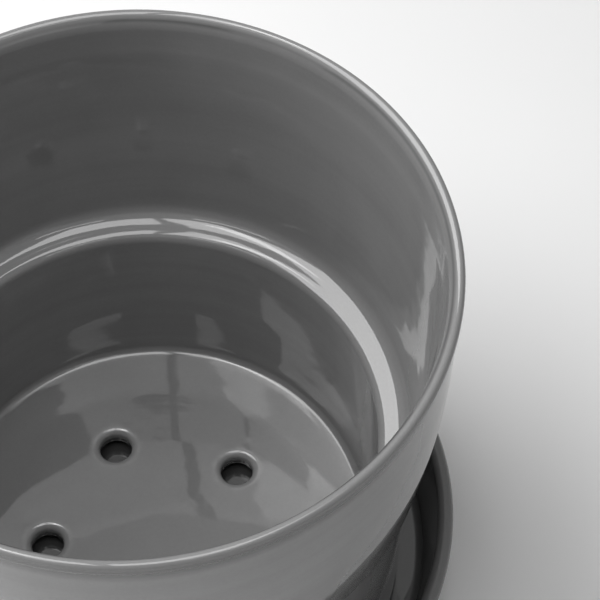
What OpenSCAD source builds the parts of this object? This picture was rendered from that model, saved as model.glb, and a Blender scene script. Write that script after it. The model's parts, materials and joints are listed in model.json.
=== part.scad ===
// Glazed stoneware planter that waters itself from a deep saucer.
// The origin is the centre of the footprint on the surface it stands on, and +Z is up.

/* [Pot rim] */
// Widest diameter of the pot, at the rim
pot_rim_d = 200; // [160:1:260]
// Wall thickness at the rim
rim_wall = 5.3; // [4.5:0.1:8]
// Height of the rolled bead at the rim
bead_h = 4.2; // [3.6:0.1:7]
// How far the bead stands out from the wall under it
bead_proud = 1.4; // [0.5:0.1:3]

/* [Pot upper chamber] */
// Height of the pot from its foot to its rim
pot_h = 174.5; // [150:0.5:230]
// Height of the steep band of the wall, from the rim down to where it starts to draw in
band_h = 44.5; // [30:0.5:55]
// How much the outside narrows on each side between the rim and the shoulder
wall_draft = 7.8; // [5:0.1:12]
// Wall thickness just above the inner ledge
shoulder_wall = 6; // [5.5:0.1:12]
// Radius that blends the inner wall into the ledge
ledge_cove = 6; // [3:0.5:9]
// Step inwards of the outside below the shoulder
shoulder_step = 4; // [2.5:0.1:6]

/* [Pot well] */
// Height of the inner ledge above the foot
ledge_h = 82; // [70:0.5:95]
// Width of the inner ledge, from the wall to the lip of the well
ledge_w = 9.7; // [7:0.1:12]
// Fall of the ledge towards the well
ledge_fall = 2.2; // [0.5:0.1:4]
// Wall thickness of the well
well_wall = 10.1; // [7:0.1:12]
// How much the well narrows on each side between the ledge and the floor
well_draft = 1.1; // [0:0.1:4]
// Floor thickness of the well
well_floor = 6.6; // [5:0.1:10]

/* [Drain holes] */
// Number of drain holes
drain_count = 5; // [3:1:8]
// Diameter of each drain hole
drain_d = 11.4; // [6:0.1:14]
// Distance of each hole from the centre of the floor
drain_r = 38; // [28:0.5:44]
// Turn of the first hole from +X
drain_turn = 42; // [0:1:71]
// Bevel that the glaze pools over at the top of each hole
drain_bevel = 1.3; // [0.5:0.1:2]

/* [Pot foot] */
// Height of the foot ring under the floor
foot_h = 2.8; // [2:0.1:5]
// Width of the foot ring
foot_w = 9; // [6:0.1:12]
// Number of notches that let water pass under the foot ring
notch_count = 3; // [2:1:6]
// Width of each notch
notch_w = 14; // [8:0.5:20]
// Turn of the first notch from +X
notch_turn = 20; // [0:1:119]

/* [Saucer] */
// Gap between the pot and the saucer wall at the saucer floor
moat_w = 8.6; // [5:0.1:14]
// Flare of the saucer wall on each side between floor and rim
saucer_flare = 4.6; // [2:0.1:8]
// Depth of the saucer inside
saucer_depth = 30.2; // [20:0.1:40]
// Wall thickness of the saucer
saucer_wall = 5.6; // [4.5:0.1:8]
// Floor thickness of the saucer
saucer_floor = 5.6; // [4.5:0.1:8]
// Height of the saucer's foot ring
saucer_foot_h = 2; // [1:0.1:4]
// Width of the saucer's foot ring
saucer_foot_w = 8; // [5:0.1:12]

/* [Pads] */
// Number of anti-slip pads under the saucer
pad_count = 4; // [3:1:8]
// Diameter of each pad
pad_d = 12; // [8:0.5:16]
// How far each pad stands below the foot ring
pad_proud = 1.4; // [1:0.1:2]

/* [Hidden] */
$fn = 96;
rim_r = pot_rim_d / 2;
lap = 1;
edge_round = 1.2;
soft_round = 3;
rim_round = 0.48 * rim_wall;
saucer_rim_round = 0.45 * saucer_wall;
foot_round = 0.6;

// how the pot's outside follows its inside
shoulder_lift = 4.8;
step_fall = 1.6 * shoulder_step;
band_draft = 0.2;
band_round = 250;
heel_w = 3;
heel_h = 2.4;

// how the saucer's foot ring sits under its wall
saucer_heel_w = 2;
saucer_tuck = 1;
pad_gap = 1;

// heights above the surface that the planter stands on
saucer_base_z = pad_proud;
recess_z = saucer_base_z + saucer_foot_h;
saucer_floor_z = recess_z + saucer_floor;
saucer_rim_z = saucer_floor_z + saucer_depth;
pot_base_z = saucer_floor_z;
pot_top_z = pot_base_z + pot_h;
pot_underside_z = pot_base_z + foot_h;
well_floor_z = pot_underside_z + well_floor;
ledge_z = pot_base_z + ledge_h;

// pot radii, from the rim down
neck_r = rim_r - bead_proud;
neck_z = pot_top_z - bead_h - 1.5 * bead_proud;
shoulder_r = rim_r - wall_draft;
ledge_outer_r = shoulder_r - shoulder_wall;
well_top_r = ledge_outer_r - ledge_w;
well_base_r = well_top_r - well_draft;
shoulder_z = ledge_z + shoulder_lift;
step_z = shoulder_z - step_fall;
waist_r = max(shoulder_r - shoulder_step, well_top_r + well_wall);
foot_r = well_base_r + well_wall;
foot_ring_r = foot_r - heel_w;

// saucer radii
saucer_floor_r = foot_r + moat_w;
saucer_rim_r = saucer_floor_r + saucer_flare;
saucer_foot_r = saucer_floor_r - saucer_heel_w;
pad_ring_r = saucer_foot_r - saucer_foot_w - saucer_foot_h - pad_gap - pad_d / 2;

pad_names = [for (i = [1 : pad_count]) str("pad_", i)];

// colours
glaze = [0.5, 0.5, 0.5];
silicone = [0.8, 0.8, 0.78];

// Points of one rounded corner b between its neighbours a and c, with radius b[2].
function corner(a, b, c) =
    let (u = [a[0] - b[0], a[1] - b[1]] / norm([a[0] - b[0], a[1] - b[1]]))
    let (v = [c[0] - b[0], c[1] - b[1]] / norm([c[0] - b[0], c[1] - b[1]]))
    let (half = acos(u * v) / 2)
    let (mid = (u + v) / norm(u + v))
    let (centre = [b[0], b[1]] + mid * b[2] / sin(half))
    let (sweep = 90 - half)
    let (steps = max(2, ceil(sweep / 4)))
    let (side = sign(u[1] * v[0] - u[0] * v[1]))
    [for (i = [-steps : steps])
        let (t = side * sweep * i / steps)
        centre - b[2] * [mid[0] * cos(t) - mid[1] * sin(t), mid[0] * sin(t) + mid[1] * cos(t)]];

// An outline of [radius, height, rounding] corners, with the rounding worked in where it is not zero.
function rounded(list) =
    let (n = len(list))
    [for (i = [0 : n - 1])
        each (list[i][2] == 0
            ? [[list[i][0], list[i][1]]]
            : corner(list[(i + n - 1) % n], list[i], list[(i + 1) % n]))];

pot_section = [
    [0, well_floor_z, 0],
    [well_base_r, well_floor_z, soft_round],
    [well_top_r, ledge_z - ledge_fall, soft_round],
    [ledge_outer_r, ledge_z, min(ledge_cove, 0.6 * ledge_w)],
    [rim_r - rim_wall, pot_top_z, rim_round],
    [rim_r, pot_top_z, rim_round],
    [rim_r, pot_top_z - bead_h, edge_round],
    [neck_r, neck_z, edge_round],
    [neck_r - band_draft, pot_top_z - band_h, band_round],
    [shoulder_r, shoulder_z, soft_round],
    [waist_r, step_z, soft_round],
    [foot_r, pot_base_z + heel_h, edge_round],
    [foot_ring_r, pot_base_z, edge_round],
    [foot_ring_r - foot_w, pot_base_z, edge_round],
    [foot_ring_r - foot_w - foot_h, pot_underside_z, edge_round],
    [0, pot_underside_z, 0]
];

saucer_section = [
    [0, saucer_floor_z, 0],
    [saucer_floor_r, saucer_floor_z, soft_round],
    [saucer_rim_r, saucer_rim_z, saucer_rim_round],
    [saucer_rim_r + saucer_wall, saucer_rim_z, saucer_rim_round],
    [saucer_floor_r + saucer_wall - saucer_tuck, recess_z, soft_round],
    [saucer_foot_r, saucer_base_z, foot_round],
    [saucer_foot_r - saucer_foot_w, saucer_base_z, foot_round],
    [saucer_foot_r - saucer_foot_w - saucer_foot_h, recess_z, foot_round],
    [0, recess_z, 0]
];

module drain_hole() {
    translate([drain_r, 0, pot_underside_z - lap])
        cylinder(h = well_floor + 2 * lap, d = drain_d);
    translate([drain_r, 0, well_floor_z - drain_bevel])
        cylinder(h = drain_bevel + lap, d1 = drain_d, d2 = drain_d + 2 * (drain_bevel + lap));
}

module foot_notch() {
    translate([foot_ring_r - foot_w - foot_h - lap, -notch_w / 2, pot_base_z - lap])
        cube([foot_w + foot_h + heel_w + 2 * lap, notch_w, foot_h + lap]);
}

module pot() {
    color(glaze)
        difference() {
            rotate_extrude()
                polygon(rounded(pot_section));
            for (i = [0 : drain_count - 1])
                rotate(drain_turn + i * 360 / drain_count)
                    drain_hole();
            for (i = [0 : notch_count - 1])
                rotate(notch_turn + i * 360 / notch_count)
                    foot_notch();
        }
}

module saucer() {
    color(glaze)
        rotate_extrude()
            polygon(rounded(saucer_section));
}

module pad(i) {
    color(silicone)
        rotate(45 + (i - 1) * 360 / pad_count)
            translate([pad_ring_r, 0, 0])
                cylinder(h = recess_z, d = pad_d);
}

pot();
saucer();
for (i = [1 : pad_count]) pad(i);
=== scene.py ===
"""Looks of the self watering planter: a glazed stoneware pot in its deep saucer, on a pale surface.

All sizes are in metres, in the row's own frame: +Z is up and the planter stands on z = 0.
"""

import json
import math

import bmesh
import bpy
from mathutils import Matrix, Vector, noise


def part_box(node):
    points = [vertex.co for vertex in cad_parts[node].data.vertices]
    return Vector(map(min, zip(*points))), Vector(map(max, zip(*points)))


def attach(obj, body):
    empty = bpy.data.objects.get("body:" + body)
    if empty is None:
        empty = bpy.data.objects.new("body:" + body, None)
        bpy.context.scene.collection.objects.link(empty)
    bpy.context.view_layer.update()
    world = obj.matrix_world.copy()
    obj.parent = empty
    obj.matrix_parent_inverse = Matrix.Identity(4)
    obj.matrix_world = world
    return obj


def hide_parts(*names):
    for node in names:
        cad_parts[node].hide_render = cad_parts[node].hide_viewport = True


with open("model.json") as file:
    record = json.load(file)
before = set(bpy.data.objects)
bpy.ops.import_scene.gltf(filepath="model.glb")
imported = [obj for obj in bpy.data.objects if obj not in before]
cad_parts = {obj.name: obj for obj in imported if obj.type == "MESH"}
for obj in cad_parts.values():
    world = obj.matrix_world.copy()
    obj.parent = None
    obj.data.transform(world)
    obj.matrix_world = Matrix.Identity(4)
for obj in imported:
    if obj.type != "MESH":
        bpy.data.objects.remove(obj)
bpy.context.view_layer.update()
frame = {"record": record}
record = frame["record"]

MM = 0.001
TURN = 2 * math.pi

# --- how finely the pieces are made ---
SPIN_STEPS = 240
SMALL_SPIN_STEPS = 64
OUTLINE_STEP = 2.2 * MM
ROUNDING_STEPS = 8
HARD_EDGE = math.radians(40)
WELD = 0.002 * MM  # points closer than this are one point
LEVEL = 0.001 * MM  # points this close to a height are on it

# --- sizes of the pot, from the rim down ---
pot_low, pot_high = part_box("pot")
RIM_R = pot_high.x
RIM_WALL = 5.3 * MM
LIP_START_R = RIM_R - RIM_WALL - 1.4 * MM
LIP_START_Z = pot_high.z - 15 * MM
BEAD_H = 4.2 * MM
BEAD_PROUD = 1.4 * MM
NECK_R = RIM_R - BEAD_PROUD
NECK_Z = pot_high.z - BEAD_H - 1.5 * BEAD_PROUD
BAND_DRAFT = 0.2 * MM
BAND_Z = pot_high.z - 44.5 * MM
SHOULDER_R = RIM_R - 7.8 * MM
WAIST_R = SHOULDER_R - 4.0 * MM
LEDGE_OUTER_R = SHOULDER_R - 6.0 * MM
WELL_TOP_R = LEDGE_OUTER_R - 9.7 * MM
WELL_BASE_R = WELL_TOP_R - 1.1 * MM
LEDGE_Z = pot_low.z + 82.0 * MM
LEDGE_FALL = 2.2 * MM
SHOULDER_Z = LEDGE_Z + 4.8 * MM
STEP_Z = SHOULDER_Z - 6.4 * MM
FOOT_R = WELL_BASE_R + 10.1 * MM
HEEL_Z = pot_low.z + 2.4 * MM
FOOT_RING_R = FOOT_R - 3.0 * MM
FOOT_INNER_R = FOOT_RING_R - 9.0 * MM
FOOT_H = 2.8 * MM
UNDERSIDE_Z = pot_low.z + FOOT_H
WELL_FLOOR_Z = UNDERSIDE_Z + 6.6 * MM
FLOOR_FILL_R = 50 * MM  # inside this radius the floor is one flat face, cut by the drain holes

# --- drain holes ---
HOLE_R = 5.6 * MM
LIP_REACH = 3.8 * MM
TUBE_STEP = 0.9 * MM

# --- water notches in the foot ring ---
NOTCH_W = 14.0 * MM
NOTCH_COUNT = 3
NOTCH_TURN = math.radians(20)
NOTCH_START_R = FOOT_INNER_R - 5 * MM
NOTCH_SIDE_IN = 1.6 * MM
NOTCH_SIDE_OUT = 0.6 * MM

# --- sizes of the saucer ---
saucer_low, saucer_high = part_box("saucer")
SAUCER_RIM_R = saucer_high.x + 0.42 * MM  # the corner before it is rounded, which brings it back inside
SAUCER_WALL = 5.6 * MM
SAUCER_RIM_ROUND = 0.45 * SAUCER_WALL
SAUCER_FLOOR_Z = pot_low.z
SAUCER_FLOOR_R = SAUCER_RIM_R - SAUCER_WALL - 4.6 * MM
SAUCER_TUCK = 1 * MM
SAUCER_FOOT_H = 2.0 * MM
SAUCER_RECESS_Z = saucer_low.z + SAUCER_FOOT_H
SAUCER_FOOT_R = SAUCER_FLOOR_R - 2.0 * MM
SAUCER_FOOT_INNER_R = SAUCER_FOOT_R - 8.0 * MM

# --- pads ---
PAD_COUNT = 4
PAD_TAPER = 1.0 * MM
PAD_STEP = 1 * MM

# --- unevenness of hand-finished ware ---
POT_WOBBLE = 0.16 * MM
SAUCER_WOBBLE = 0.12 * MM
WOBBLE_RISE = 16 * MM
SLOW_SCALE = 13
QUICK_SCALE = 34
QUICK_SHARE = 0.3
POT_SEED = 3.1
SAUCER_SEED = 8.4

# --- glaze: greys, and how far each one is taken ---
POT_GREYS = (0.210, 0.175)
# painted shade: the saucer's greys are the pot's glaze drawn darker, standing in for the pot's shadow
SAUCER_SHADED_GREYS = (0.125, 0.105)
SPECK_GREY = 0.06
# painted shade under the rim bead
BEAD_SHADE_GREY, BEAD_SHADE_SHARE = 0.045, 0.92
# painted shade: the floor at the bottom of the well drawn darker
FLOOR_SHADE_GREY, FLOOR_SHADE_SHARE = 0.0, 0.14
# painted light: a paler ring round each drain hole
HALO_LIGHT_GREY, HALO_LIGHT_SHARE = 0.26, 0.5
# painted shade inside the drain holes
HOLE_SHADE_GREY = 0.03
# painted shade on the saucer floor under the pot
UNDER_POT_SHADE_GREY, UNDER_POT_SHADE_SHARE = 0.02, 0.85
CLAY_GREYS = (0.36, 0.52)

# --- glaze: surface ---
GLAZE_IOR = 1.72
GLAZE_ROUGHNESS = 0.035
ROUGHNESS_SPREAD = 0.03
BARE_ROUGHNESS = 0.75
SLOW_WAVES = 0.40 * MM
RIPPLES = 0.05 * MM
TURNING_LINES = 0.006 * MM
ORANGE_PEEL = 0.0008 * MM
OUTSIDE_RELIEF = 0.04
LIP_SWELL = 0.05 * MM
POT_WIPED_BELOW = pot_low.z + 0.7 * MM
SAUCER_WIPED_BELOW = saucer_low.z + 1.4 * MM

# --- silicone ---
SILICONE_DULL = (0.54, 0.54, 0.52, 1)
SILICONE_PALE = (0.66, 0.66, 0.64, 1)
DUST_COLOUR = (0.42, 0.41, 0.39, 1)
SILICONE_ROUGHNESS = 0.38
DUST_ROUGHNESS = 0.2
DUST_RELIEF = 0.02 * MM

# --- table ---
TABLE_HALF_SIDE = 3
TABLE_GREYS = (0.845, 0.875)
TABLE_ROUGHNESS = 0.7
TABLE_SPECULAR = 0.2
FAR_START, FAR_END, FAR_GLOW = 0.5, 1.8, 0.7

# --- light: each lamp's name, centre, half of each side, and radiance ---
LAMPS = (
    ("softbox_left", (-0.70, 0.26, 0.83), (0.43, 0, 0.37), (0, 0.54, 0), 3.6),
    ("panel_left", (-0.27, -0.15, 1.12), (0.15, 0, 0), (0, 0.37, 0), 3.5),
    ("panel_right", (0.13, -0.18, 1.12), (0.21, 0, 0), (0, 0.34, 0), 3.3),
    ("strip_left", (-0.64, -0.80, 1.08), (0.30, 0, 0), (0, 0.04, 0.03), 3.0),
    ("strip_right", (0.46, -0.80, 1.08), (0.26, 0, 0), (0, 0.04, 0.03), 3.0),
)
WORLD_FILL = 0.14
WORLD_SEEN = 0.85
WORLD_MIRRORED = 0.55

# --- camera ---
CAMERA_PITCH = math.radians(56.29)
CAMERA_OFFSET = Vector((0.0509, -0.4008, 0.5848))
CAMERA_LENS = 144
SENSOR_WIDTH = 36
RIM_WIDEST_DROP = 2.4 * MM


# --- mesh helpers ---
def rounding_reach(before, corner, after, radius):
    """How far from a corner a rounding of that radius begins."""
    here = Vector(corner[:2])
    one = (Vector(before[:2]) - here).normalized()
    two = (Vector(after[:2]) - here).normalized()
    half = one.angle(two) / 2
    return radius / math.tan(half)


def draw_outline(bm, corners, step, segments):
    """Draws an outline through (radius, height, rounding) corners, rounds them and divides the long runs."""
    verts = [bm.verts.new((r, 0, z)) for r, z, _ in corners]
    for first, second in zip(verts, verts[1:]):
        bm.edges.new((first, second))
    for i in range(1, len(corners) - 1):
        radius = corners[i][2]
        if radius:
            bmesh.ops.bevel(
                bm, geom=[verts[i]], offset=rounding_reach(*corners[i - 1 : i + 2], radius),
                offset_type="OFFSET", segments=segments, profile=0.5, affect="VERTICES", material=-1,
            )
    for edge in list(bm.edges):
        cuts = int(edge.calc_length() / step)
        if cuts:
            bmesh.ops.subdivide_edges(bm, edges=[edge], cuts=cuts)


def turned(corners, step=OUTLINE_STEP, spin_steps=SPIN_STEPS, segments=ROUNDING_STEPS, centre=(0, 0, 0)):
    """A surface of revolution about a vertical axis, from (radius, height, rounding) corners."""
    bm = bmesh.new()
    draw_outline(bm, corners, step, segments)
    bmesh.ops.translate(bm, vec=centre, verts=bm.verts[:])
    bmesh.ops.spin(
        bm, geom=bm.verts[:] + bm.edges[:], cent=centre, axis=(0, 0, 1),
        angle=TURN, steps=spin_steps, use_merge=True,
    )
    return bm


def add_into(bm, other):
    """Puts another bmesh's surface into this one."""
    mesh = bpy.data.meshes.new("joined")
    other.to_mesh(mesh)
    other.free()
    bm.from_mesh(mesh)
    bpy.data.meshes.remove(mesh)


def close_flat(bm, height):
    """Fills the flat face between all the open edges that lie at one height."""
    open_edges = [e for e in bm.edges if e.is_boundary]
    rim = [e for e in open_edges if all(abs(v.co.z - height) < LEVEL for v in e.verts)]
    bmesh.ops.triangle_fill(bm, use_beauty=True, use_dissolve=False, edges=rim, normal=(0, 0, 1))


def finished(name, bm):
    """Makes the object at the origin, closed, facing outwards and smooth except at hard edges."""
    bmesh.ops.remove_doubles(bm, verts=bm.verts[:], dist=WELD)
    bmesh.ops.recalc_face_normals(bm, faces=bm.faces[:])
    mesh = bpy.data.meshes.new(name)
    bm.to_mesh(mesh)
    bm.free()
    mesh.shade_smooth()
    mesh.set_sharp_from_angle(angle=HARD_EDGE)
    piece = bpy.data.objects.new(name, mesh)
    bpy.context.scene.collection.objects.link(piece)
    return piece


def soft_step(low, high, value):
    """Goes softly from 0 at low to 1 at high."""
    share = min(1, max(0, (value - low) / (high - low)))
    return share * share * (3 - 2 * share)


def press_notches(bm):
    """Presses the water notches up into the foot ring."""
    between = TURN / NOTCH_COUNT
    half = NOTCH_W / 2
    for vert in bm.verts:
        if vert.co.z < UNDERSIDE_Z and vert.co.xy.length > NOTCH_START_R:
            turn = math.atan2(vert.co.y, vert.co.x) - NOTCH_TURN
            across = abs(turn - round(turn / between) * between) * vert.co.xy.length
            depth = 1 - soft_step(half - NOTCH_SIDE_IN, half + NOTCH_SIDE_OUT, across)
            vert.co.z += depth * (UNDERSIDE_Z - vert.co.z)


def wobble(bm, amount, still_below, seed):
    """Moves the surface inwards by a slightly uneven amount, leaving its foot and floor true."""
    bmesh.ops.recalc_face_normals(bm, faces=bm.faces[:])
    bm.normal_update()
    for vert in bm.verts:
        rise = soft_step(still_below, still_below + WOBBLE_RISE, vert.co.z)
        slow = noise.noise(vert.co * SLOW_SCALE + Vector((seed, 0, 0)))
        quick = noise.noise(vert.co * QUICK_SCALE + Vector((0, seed, 0)))
        vert.co += vert.normal * amount * rise * (slow + QUICK_SHARE * quick - 1)


# --- pieces ---
def drain_centres():
    """The middle of each drain hole, from the record's openings."""
    boxes = [o["box_m"] for o in record["physics"]["openings"] if o["name"].startswith("drain_hole")]
    return [(Vector(low) + Vector(high)) / 2 for low, high in boxes]


def drain_tube(centre):
    """The wall of one drain hole, from the soft glazed lip at its top to the bare edge at its bottom."""
    return turned([
        (HOLE_R + LIP_REACH, WELL_FLOOR_Z, 0),
        (HOLE_R + 0.2 * MM, WELL_FLOOR_Z, 2.4 * MM),
        (HOLE_R, WELL_FLOOR_Z - 3 * MM, 1.2 * MM),
        (HOLE_R, UNDERSIDE_Z + 0.9 * MM, 0.8 * MM),
        (HOLE_R + 1 * MM, UNDERSIDE_Z, 0),
    ], step=TUBE_STEP, spin_steps=SMALL_SPIN_STEPS, centre=(centre.x, centre.y, 0))


def pot_outline():
    """The pot's section, up its inside from the floor, over the rim and down its outside to the underside."""
    top = pot_high.z
    return [
        (FLOOR_FILL_R, WELL_FLOOR_Z, 0),
        (FLOOR_FILL_R + 8 * MM, WELL_FLOOR_Z, 60 * MM),
        (WELL_BASE_R, WELL_FLOOR_Z + 1.1 * MM, 2.6 * MM),
        (WELL_TOP_R, LEDGE_Z - LEDGE_FALL, 3.7 * MM),
        (LEDGE_OUTER_R, LEDGE_Z, 6.2 * MM),
        (LIP_START_R, LIP_START_Z, 40 * MM),
        (RIM_R - 5.0 * MM, top - 4.0 * MM, 9.0 * MM),
        (RIM_R - 2.9 * MM, top - 0.3 * MM, 2.0 * MM),
        (RIM_R - 1.2 * MM, top, 1.3 * MM),
        (RIM_R, top - 1.3 * MM, 2.0 * MM),
        (RIM_R, top - BEAD_H, 1.6 * MM),
        (NECK_R, NECK_Z, 1.2 * MM),
        (NECK_R - BAND_DRAFT, BAND_Z, 250 * MM),
        (SHOULDER_R, SHOULDER_Z, 3.0 * MM),
        (WAIST_R, STEP_Z, 3.0 * MM),
        (FOOT_R, HEEL_Z, 1.2 * MM),
        (FOOT_RING_R, pot_low.z, 1.2 * MM),
        (FOOT_INNER_R, pot_low.z, 1.2 * MM),
        (FOOT_INNER_R - FOOT_H, UNDERSIDE_Z, 1.2 * MM),
        (FLOOR_FILL_R, UNDERSIDE_Z, 0),
    ]


def build_pot():
    """The pot, with its drain holes and the notches in its foot ring."""
    bm = turned(pot_outline())
    wobble(bm, POT_WOBBLE, WELL_FLOOR_Z + 6 * MM, POT_SEED)
    press_notches(bm)
    for centre in drain_centres():
        add_into(bm, drain_tube(centre))
    close_flat(bm, WELL_FLOOR_Z)
    close_flat(bm, UNDERSIDE_Z)
    pot = finished("pot_body", bm)
    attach(pot, "pot")
    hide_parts("pot")
    return pot


def build_saucer():
    """The saucer, a flared dish on a foot ring."""
    bm = turned([
        (0, SAUCER_FLOOR_Z, 0),
        (SAUCER_FLOOR_R, SAUCER_FLOOR_Z, 3.0 * MM),
        (SAUCER_RIM_R - SAUCER_WALL, saucer_high.z, SAUCER_RIM_ROUND),
        (SAUCER_RIM_R, saucer_high.z, SAUCER_RIM_ROUND),
        (SAUCER_FLOOR_R + SAUCER_WALL - SAUCER_TUCK, SAUCER_RECESS_Z, 3.0 * MM),
        (SAUCER_FOOT_R, saucer_low.z, 0.6 * MM),
        (SAUCER_FOOT_INNER_R, saucer_low.z, 0.6 * MM),
        (SAUCER_FOOT_INNER_R - SAUCER_FOOT_H, SAUCER_RECESS_Z, 0.6 * MM),
        (0, SAUCER_RECESS_Z, 0),
    ])
    wobble(bm, SAUCER_WOBBLE, SAUCER_FLOOR_Z + 2 * MM, SAUCER_SEED)
    saucer = finished("saucer_body", bm)
    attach(saucer, "saucer")
    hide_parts("saucer")
    return saucer


def build_pad(index):
    """One anti-slip pad under the saucer, with a softened lower edge."""
    node = f"pad_{index}"
    low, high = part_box(node)
    centre = (low + high) / 2
    radius = (high.x - low.x) / 2
    bm = turned([
        (0, low.z, 0),
        (radius - PAD_TAPER, low.z, 0.6 * MM),
        (radius, high.z, 0),
        (0, high.z, 0),
    ], step=PAD_STEP, spin_steps=SMALL_SPIN_STEPS, segments=5, centre=(centre.x, centre.y, 0))
    pad = finished(f"pad_{index}_disc", bm)
    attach(pad, "saucer")
    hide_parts(node)
    return pad


# --- node helpers ---
def grey(value):
    """A neutral colour."""
    return (value, value, value, 1)


class Wiring:
    """Adds nodes to one tree and wires them up as they are made."""

    def __init__(self, tree):
        self.tree = tree

    def node(self, kind, inputs=None, **settings):
        """A new node with these settings, its inputs fed from sockets or set to values."""
        made = self.tree.nodes.new(kind)
        for key, value in settings.items():
            setattr(made, key, value)
        for key, value in (inputs or {}).items():
            self.feed(made.inputs[key], value)
        return made

    def feed(self, socket, value):
        """Links the socket to another socket, or sets it to a value."""
        if isinstance(value, bpy.types.NodeSocket):
            self.tree.links.new(value, socket)
        else:
            socket.default_value = value

    def group(self, group, inputs=None):
        """Places a shared effect with its own values and gives its outputs."""
        made = self.node("ShaderNodeGroup", node_tree=group)
        for label, value in (inputs or {}).items():
            self.feed(made.inputs[label], value)
        return made.outputs

    def math(self, operation, *values):
        """The result of one sum on up to two values."""
        made = self.node("ShaderNodeMath", operation=operation)
        for i, value in enumerate(values):
            self.feed(made.inputs[i], value)
        return made.outputs[0]

    def flip(self, mask):
        """Turns a mask inside out."""
        return self.math("SUBTRACT", 1.0, mask)

    def weighted(self, pairs):
        """The sum of some values, each times its weight."""
        total = 0.0
        for value, weight in pairs:
            total = self.math("ADD", total, self.math("MULTIPLY", value, weight))
        return total

    def step(self, value, low, high):
        """Goes softly from 0 at low to 1 at high."""
        made = self.node("ShaderNodeMapRange", {"Value": value, "From Min": low, "From Max": high})
        made.interpolation_type = "SMOOTHSTEP"
        return made.outputs["Result"]

    def step_down(self, value, low, high):
        """Goes softly from 1 at low to 0 at high."""
        return self.flip(self.step(value, low, high))

    def mix(self, share, first, second):
        """A colour that share of the way from the first to the second."""
        made = self.node("ShaderNodeMix", {"Factor": share}, data_type="RGBA")
        self.feed(made.inputs[6], first)
        self.feed(made.inputs[7], second)
        return made.outputs[2]

    def tint(self, colour, mask, share, value):
        """Takes the colour a share of the way to a grey, where the mask is 1."""
        return self.mix(self.math("MULTIPLY", mask, share), colour, grey(value))

    def place(self):
        """Where on its object the surface is, in metres."""
        return self.node("ShaderNodeTexCoord").outputs["Object"]

    def split(self, vector):
        """The three parts of a vector."""
        return self.node("ShaderNodeSeparateXYZ", {"Vector": vector}).outputs[:]

    def length(self, x, y):
        """The length of a flat vector."""
        flat = self.node("ShaderNodeCombineXYZ", {"X": x, "Y": y}).outputs[0]
        return self.node("ShaderNodeVectorMath", {0: flat}, operation="LENGTH").outputs["Value"]

    def noise(self, vector, scale, detail=2.0, roughness=0.5):
        """Cloudy noise from 0 to 1."""
        made = self.node(
            "ShaderNodeTexNoise",
            {"Vector": vector, "Scale": scale, "Detail": detail, "Roughness": roughness},
        )
        return made.outputs["Fac"]

    def waves(self, vector, scale):
        """Plain noise that goes evenly above and below zero."""
        return self.math("SUBTRACT", self.noise(vector, scale, 1.0), 0.5)

    def banded(self, x, y, along, across_scale, along_scale):
        """Coordinates in which noise of scale 1 makes bands round the axis."""
        return self.node("ShaderNodeCombineXYZ", {
            "X": self.math("MULTIPLY", x, across_scale),
            "Y": self.math("MULTIPLY", y, across_scale),
            "Z": self.math("MULTIPLY", along, along_scale),
        }).outputs[0]

    def uneven(self, value, place, scale, detail, amount):
        """Adds noise to a value. An edge drawn from the result comes out ragged."""
        return self.math("ADD", value, self.math("MULTIPLY", self.noise(place, scale, detail), amount))


# --- shared effects ---
def effect_group(name, inputs, outputs):
    """An empty node group with named inputs and outputs, the wiring for it, and its two end nodes."""
    group = bpy.data.node_groups.new(name, "ShaderNodeTree")
    for label, kind, value in inputs:
        group.interface.new_socket(label, in_out="INPUT", socket_type=kind).default_value = value
    for label, kind in outputs:
        group.interface.new_socket(label, in_out="OUTPUT", socket_type=kind)
    return group, Wiring(group), group.nodes.new("NodeGroupInput"), group.nodes.new("NodeGroupOutput")


def hand_thrown_relief():
    """The relief of thrown ware: slow waves, ripples, turning lines round the axis, and orange peel."""
    group, w, given, result = effect_group(
        "hand_thrown_relief",
        [
            ("Slow waves", "NodeSocketFloat", SLOW_WAVES),
            ("Ripples", "NodeSocketFloat", RIPPLES),
            ("Turning lines", "NodeSocketFloat", TURNING_LINES),
            ("Orange peel", "NodeSocketFloat", ORANGE_PEEL),
        ],
        [("Height", "NodeSocketFloat")],
    )
    place = w.place()
    x, y, z = w.split(place)
    along = w.math("ADD", w.length(x, y), z)
    fine_lines = w.waves(w.banded(x, y, along, 14, 620), 1.0)
    broad_lines = w.waves(w.banded(x, y, along, 5, 130), 1.0)
    w.feed(result.inputs["Height"], w.weighted((
        (w.waves(place, 24.0), given.outputs["Slow waves"]),
        (w.waves(place, 90.0), given.outputs["Ripples"]),
        (w.math("ADD", fine_lines, w.math("MULTIPLY", broad_lines, 1.5)), given.outputs["Turning lines"]),
        (w.waves(place, 420.0), given.outputs["Orange peel"]),
    )))
    return group


def glaze_tone():
    """How the glaze varies: cloudy tone, bands where it ran round the wall, and rare pin-sized specks."""
    group, w, given, result = effect_group(
        "glaze_tone",
        [
            ("Thin", "NodeSocketColor", grey(POT_GREYS[0])),
            ("Thick", "NodeSocketColor", grey(POT_GREYS[1])),
            ("Speck", "NodeSocketColor", grey(SPECK_GREY)),
        ],
        [("Color", "NodeSocketColor")],
    )
    place = w.place()
    x, y, z = w.split(place)
    clouds = w.noise(place, 18.0, 4.0, 0.55)
    bands = w.noise(w.banded(x, y, z, 4, 95), 1.0, 3.0, 0.6)
    grain = w.noise(place, 900.0, 2.0, 0.6)
    blend = w.weighted(((clouds, 0.45), (bands, 0.4), (grain, 0.15)))
    tone = w.mix(w.step(blend, 0.34, 0.66), given.outputs["Thin"], given.outputs["Thick"])
    cells = w.node("ShaderNodeTexVoronoi", {"Vector": place, "Scale": 85.0, "Randomness": 1.0}).outputs
    dots = w.step_down(cells["Distance"], 0.02, 0.045)
    draw = w.node("ShaderNodeSeparateColor", {"Color": cells["Color"]}).outputs[0]
    specks = w.math("MULTIPLY", dots, w.step(draw, 0.955, 0.96))
    w.feed(result.inputs["Color"], w.mix(specks, tone, given.outputs["Speck"]))
    return group


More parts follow.
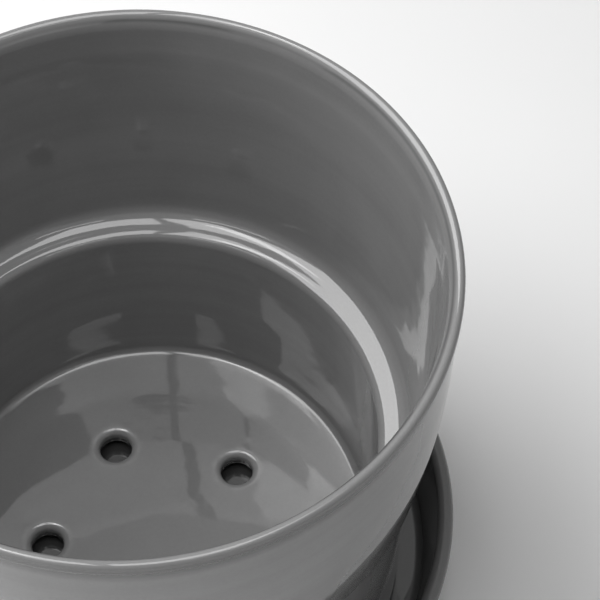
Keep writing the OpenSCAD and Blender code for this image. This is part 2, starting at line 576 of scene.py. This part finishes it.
def drain_ring(centres):
    """Distance from the nearest drain hole's centre, measured across the floor."""
    group, w, _, result = effect_group("drain_ring", [], [("Distance", "NodeSocketFloat")])
    first = centres[0]
    share = TURN / len(centres)
    x, y, _ = w.split(w.place())
    turn = w.math("SUBTRACT", w.math("ARCTAN2", y, x), math.atan2(first.y, first.x))
    nearest = w.math("MULTIPLY", w.math("ROUND", w.math("DIVIDE", turn, share)), share)
    folded = w.math("SUBTRACT", turn, nearest)
    reach = w.length(x, y)
    along = w.math("SUBTRACT", w.math("MULTIPLY", reach, w.math("COSINE", folded)), first.xy.length)
    across = w.math("MULTIPLY", reach, w.math("SINE", folded))
    w.feed(result.inputs["Distance"], w.length(along, across))
    return group


# --- materials ---
def new_material(name):
    """A material with a plain Principled shader, the wiring for it, and the shader."""
    material = bpy.data.materials.new(name)
    material.use_nodes = True
    material.node_tree.nodes.clear()
    w = Wiring(material.node_tree)
    shader = w.node("ShaderNodeBsdfPrincipled")
    w.node("ShaderNodeOutputMaterial", {"Surface": shader.outputs["BSDF"]})
    return material, w, shader


def outside_mask(w, place):
    """1 outside the middle of the pot's wall, and so over the saucer's wall too, and 0 inside it."""
    x, y, z = w.split(place)
    middle = w.node("ShaderNodeMapRange", {
        "Value": z, "From Min": STEP_Z, "From Max": pot_high.z - 6 * MM,
        "To Min": LEDGE_OUTER_R + 1.4 * MM, "To Max": RIM_R - 4 * MM,
    }).outputs["Result"]
    return w.step(w.math("SUBTRACT", w.length(x, y), middle), -0.4 * MM, 0.6 * MM)


def glaze_relief(w, place, outside, relief):
    """The height of the relief: faint on the outside, and with doubled waves above the ledge."""
    calm = w.flip(w.math("MULTIPLY", outside, 1 - OUTSIDE_RELIEF))
    above_ledge = w.step(w.split(place)[2], LEDGE_Z + 6 * MM, LEDGE_Z + 30 * MM)
    wavy = w.math("MULTIPLY", calm, w.math("ADD", 1.0, above_ledge))
    return w.group(relief, {
        "Slow waves": w.math("MULTIPLY", wavy, SLOW_WAVES),
        "Ripples": w.math("MULTIPLY", wavy, RIPPLES),
        "Turning lines": w.math("MULTIPLY", calm, TURNING_LINES),
        "Orange peel": ORANGE_PEEL,
    })["Height"]


def paint_shade_under_bead(w, place, outside, colour):
    """A dark band of painted shade on the outside under the bead."""
    height = w.split(place)[2]
    start = w.step(height, pot_high.z - 12.0 * MM, pot_high.z - 6.5 * MM)
    end = w.step_down(height, pot_high.z - 2.8 * MM, pot_high.z - 1.2 * MM)
    line = w.math("MULTIPLY", w.math("MULTIPLY", start, end), outside)
    return w.tint(colour, line, BEAD_SHADE_SHARE, BEAD_SHADE_GREY)


def drained_floor(w, place, drains, colour, surface):
    """The well floor a little darker with painted shade, a ragged paler ring of painted light round each hole
    where the glaze also swells, and painted shade on the hole walls.
    """
    height = w.split(place)[2]
    distance = w.group(drains)["Distance"]
    floor = w.step_down(height, WELL_FLOOR_Z + 1 * MM, WELL_FLOOR_Z + 3 * MM)
    # painted shade darkens the well floor
    colour = w.tint(colour, floor, FLOOR_SHADE_SHARE, FLOOR_SHADE_GREY)
    # painted light: a ragged paler ring round each hole
    ring = w.step_down(w.uneven(distance, place, 260.0, 2.0, 3.0 * MM), 8.5 * MM, 11.5 * MM)
    colour = w.tint(colour, w.math("MULTIPLY", ring, floor), HALO_LIGHT_SHARE, HALO_LIGHT_GREY)
    swell = w.math("MULTIPLY", w.step(distance, 6.0 * MM, 12.0 * MM), -LIP_SWELL)
    surface = w.math("ADD", surface, w.math("MULTIPLY", swell, floor))
    # painted shade: the hole walls below the floor are drawn near black
    inside = w.step_down(distance, HOLE_R + 0.2 * MM, HOLE_R + 0.6 * MM)
    deep = w.step_down(height, WELL_FLOOR_Z - 4.6 * MM, WELL_FLOOR_Z - 2.6 * MM)
    return w.tint(colour, inside, deep, HOLE_SHADE_GREY), surface


def paint_shade_under_pot(w, place, colour):
    """Painted shade: the saucer's floor drawn darker, to a ragged edge, where the pot stands over it."""
    x, y, z = w.split(place)
    reach = w.uneven(w.length(x, y), place, 60.0, 3.0, 14 * MM)
    covered = w.step_down(reach, 66 * MM, 84 * MM)
    above_recess = w.step(z, SAUCER_RECESS_Z + 1 * MM, SAUCER_RECESS_Z + 3 * MM)
    return w.tint(colour, w.math("MULTIPLY", covered, above_recess), UNDER_POT_SHADE_SHARE, UNDER_POT_SHADE_GREY)


def bare_clay(w, place):
    """The colour of the unglazed stoneware: pale, grainy and dry."""
    grain = w.noise(place, 1500.0, 3.0, 0.7)
    return w.mix(grain, grey(CLAY_GREYS[0]), grey(CLAY_GREYS[1]))


def finish_glaze(w, shader, place, colour, surface, wiped_below):
    """Feeds the shader, with the glaze wiped off the foot up to a ragged edge."""
    edge = w.uneven(w.split(place)[2], place, 180.0, 3.0, 0.9 * MM)
    glazed = w.step(edge, wiped_below + 0.35 * MM, wiped_below + 0.55 * MM)
    gloss = w.uneven(GLAZE_ROUGHNESS, place, 60.0, 3.0, ROUGHNESS_SPREAD)
    bare = w.math("MULTIPLY", w.flip(glazed), BARE_ROUGHNESS)
    bump = w.node("ShaderNodeBump", {"Height": surface, "Distance": 1.0, "Strength": 1.0})
    w.feed(shader.inputs["Base Color"], w.mix(glazed, bare_clay(w, place), colour))
    w.feed(shader.inputs["Roughness"], w.math("ADD", gloss, bare))
    w.feed(shader.inputs["Normal"], bump.outputs["Normal"])
    shader.inputs["IOR"].default_value = GLAZE_IOR


def glaze_colour(w, tone, greys):
    """The glaze's varied tone, between its grey where it is thin and its grey where it is thick."""
    thin, thick = greys
    return w.group(tone, {"Thin": grey(thin), "Thick": grey(thick), "Speck": grey(SPECK_GREY)})["Color"]


def pot_glaze_material(relief, tone, drains):
    """Glossy mid-grey glaze, with painted shade under the bead, on the well floor and in the drain holes, and
    a paler ring of painted light round each hole.
    """
    material, w, shader = new_material("grey_glaze_pot")
    place = w.place()
    outside = outside_mask(w, place)
    surface = glaze_relief(w, place, outside, relief)
    colour = paint_shade_under_bead(w, place, outside, glaze_colour(w, tone, POT_GREYS))
    colour, surface = drained_floor(w, place, drains, colour, surface)
    finish_glaze(w, shader, place, colour, surface, POT_WIPED_BELOW)
    return material


def saucer_glaze_material(relief, tone):
    """The pot's glossy grey glaze drawn in darker greys, as painted shade cast by the pot, and darker still
    with painted shade where the pot stands over it.
    """
    material, w, shader = new_material("grey_glaze_saucer")
    place = w.place()
    surface = glaze_relief(w, place, outside_mask(w, place), relief)
    colour = paint_shade_under_pot(w, place, glaze_colour(w, tone, SAUCER_SHADED_GREYS))
    finish_glaze(w, shader, place, colour, surface, SAUCER_WIPED_BELOW)
    return material


def silicone_material():
    """Milky silicone with a little dust on it."""
    material, w, shader = new_material("milky_silicone")
    place = w.place()
    dust = w.noise(place, 2200.0, 2.0)
    colour = w.mix(w.noise(place, 260.0, 3.0), SILICONE_DULL, SILICONE_PALE)
    bump = w.node("ShaderNodeBump", {"Height": w.math("MULTIPLY", dust, DUST_RELIEF), "Distance": 1.0})
    w.feed(shader.inputs["Base Color"], w.mix(w.step(dust, 0.62, 0.7), colour, DUST_COLOUR))
    rough = w.math("ADD", SILICONE_ROUGHNESS, w.math("MULTIPLY", dust, DUST_ROUGHNESS))
    w.feed(shader.inputs["Roughness"], rough)
    w.feed(shader.inputs["Normal"], bump.outputs["Normal"])
    return material


def table_material():
    """Matt white, and as pale to the camera far from the pot, where the lamps don't reach."""
    material, w, shader = new_material("matt_white_table")
    place = w.place()
    x, y, _ = w.split(place)
    seen = w.node("ShaderNodeLightPath").outputs["Is Camera Ray"]
    far = w.math("MULTIPLY", w.step(w.length(x, y), FAR_START, FAR_END), seen)
    low, high = TABLE_GREYS
    w.feed(shader.inputs["Base Color"], w.mix(w.noise(place, 6.0, 3.0), grey(low), grey(high)))
    w.feed(shader.inputs["Emission Color"], w.mix(far, grey(0), grey(FAR_GLOW)))
    shader.inputs["Emission Strength"].default_value = 1.0
    shader.inputs["Roughness"].default_value = TABLE_ROUGHNESS
    shader.inputs["Specular IOR Level"].default_value = TABLE_SPECULAR
    return material


# --- stage ---
def softbox(name, centre, across, along, radiance):
    """A flat soft light from its centre and its two half sides. It shines against their cross product."""
    across, along = Vector(across), Vector(along)
    lamp = bpy.data.lights.new(name, "AREA")
    lamp.shape = "RECTANGLE"
    lamp.size, lamp.size_y = 2 * across.length, 2 * along.length
    lamp.energy = radiance * math.pi * lamp.size * lamp.size_y
    light = bpy.data.objects.new(name, lamp)
    bpy.context.scene.collection.objects.link(light)
    x, y = across.normalized(), along.normalized()
    turn = Matrix((x, y, x.cross(y))).transposed().to_4x4()
    light.matrix_world = Matrix.Translation(centre) @ turn


def build_world():
    """An even white fill: bright seen directly, dimmer in reflections, and weak as light."""
    world = bpy.data.worlds.new("studio")
    bpy.context.scene.world = world
    world.use_nodes = True
    world.node_tree.nodes.clear()
    w = Wiring(world.node_tree)
    rays = w.node("ShaderNodeLightPath").outputs
    direct = w.math("MAXIMUM", rays["Is Camera Ray"], rays["Is Transmission Ray"])
    extra = w.weighted((
        (direct, WORLD_SEEN - WORLD_FILL),
        (rays["Is Glossy Ray"], WORLD_MIRRORED - WORLD_FILL),
    ))
    strength = w.math("ADD", extra, WORLD_FILL)
    background = w.node("ShaderNodeBackground", {"Color": grey(1), "Strength": strength})
    w.node("ShaderNodeOutputWorld", {"Surface": background.outputs[0]})


def build_table():
    """The surface that the planter stands on."""
    bm = bmesh.new()
    bmesh.ops.create_grid(bm, x_segments=1, y_segments=1, size=TABLE_HALF_SIDE)
    table = finished("table", bm)
    table.data.materials.append(table_material())


def build_camera():
    """The camera looks down along +Y over the rim, from straight in front and a little to the right."""
    data = bpy.data.cameras.new("camera")
    data.lens = CAMERA_LENS
    data.sensor_width = SENSOR_WIDTH
    camera = bpy.data.objects.new("camera", data)
    bpy.context.scene.collection.objects.link(camera)
    camera.location = Vector((0, 0, pot_high.z - RIM_WIDEST_DROP)) + CAMERA_OFFSET
    camera.rotation_euler = (math.pi / 2 - CAMERA_PITCH, 0, 0)
    bpy.context.scene.camera = camera


def main():
    bpy.context.scene.view_settings.view_transform = "Standard"
    build_camera()
    for lamp in LAMPS:
        softbox(*lamp)
    build_world()
    build_table()
    relief, tone, drains = hand_thrown_relief(), glaze_tone(), drain_ring(drain_centres())
    build_pot().data.materials.append(pot_glaze_material(relief, tone, drains))
    build_saucer().data.materials.append(saucer_glaze_material(relief, tone))
    silicone = silicone_material()
    for index in range(1, PAD_COUNT + 1):
        build_pad(index).data.materials.append(silicone)


main()
